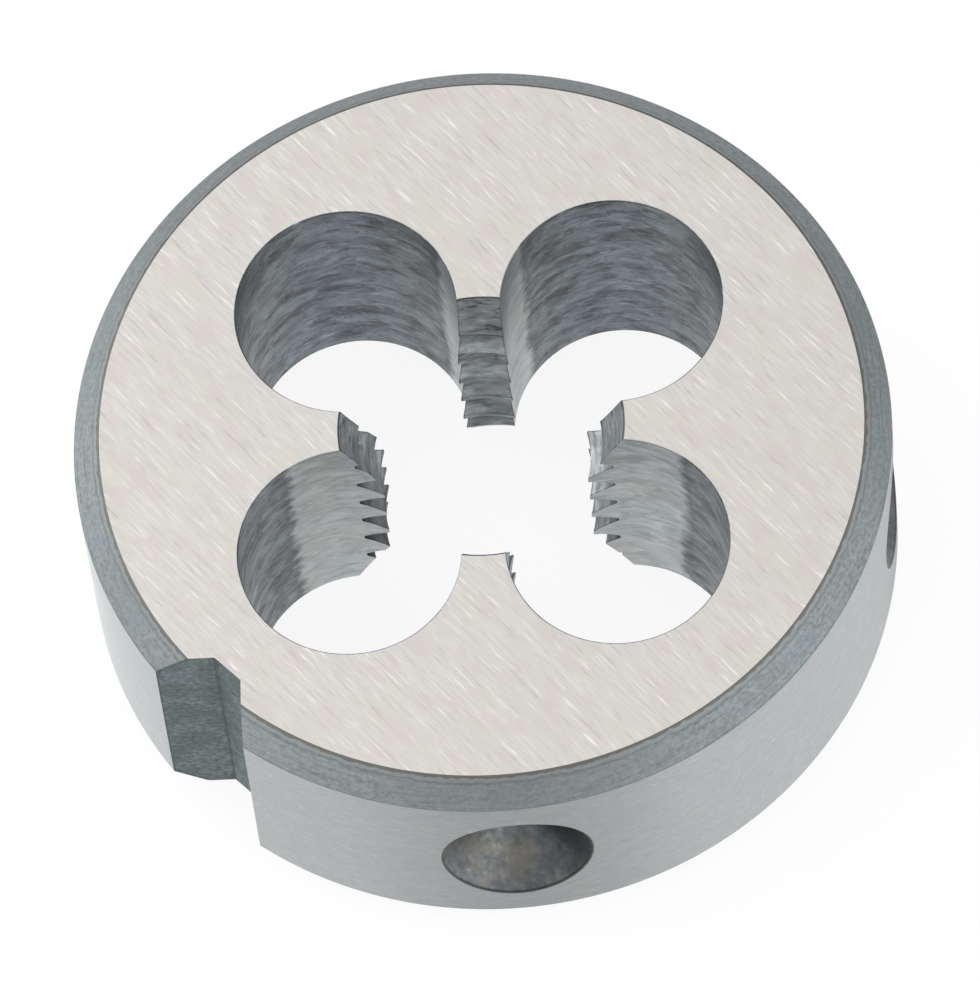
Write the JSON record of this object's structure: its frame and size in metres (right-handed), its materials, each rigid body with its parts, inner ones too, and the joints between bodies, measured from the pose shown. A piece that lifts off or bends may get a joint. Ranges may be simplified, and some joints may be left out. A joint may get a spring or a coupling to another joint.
{
  "type": "round threading die",
  "caption": "Round threading die: a thick steel disc with cutting lands between round flutes, lead cones, an adjusting notch and clamping dimples in its rim.",
  "frame": {"origin": "centre of the bottom face, on the die's axis", "axes": "+Z along the die's axis towards the top face; the cutting lands lie on +X, +Y, -X and -Y, and the notch between -X and -Y"},
  "size_m": [0.025, 0.025, 0.009],
  "materials": {
    "ground_tool_steel": "ground and turned hardened tool steel"
  },
  "bodies": {
    "root": {"threading_die": "ground_tool_steel"}
  },
  "joints": []
}
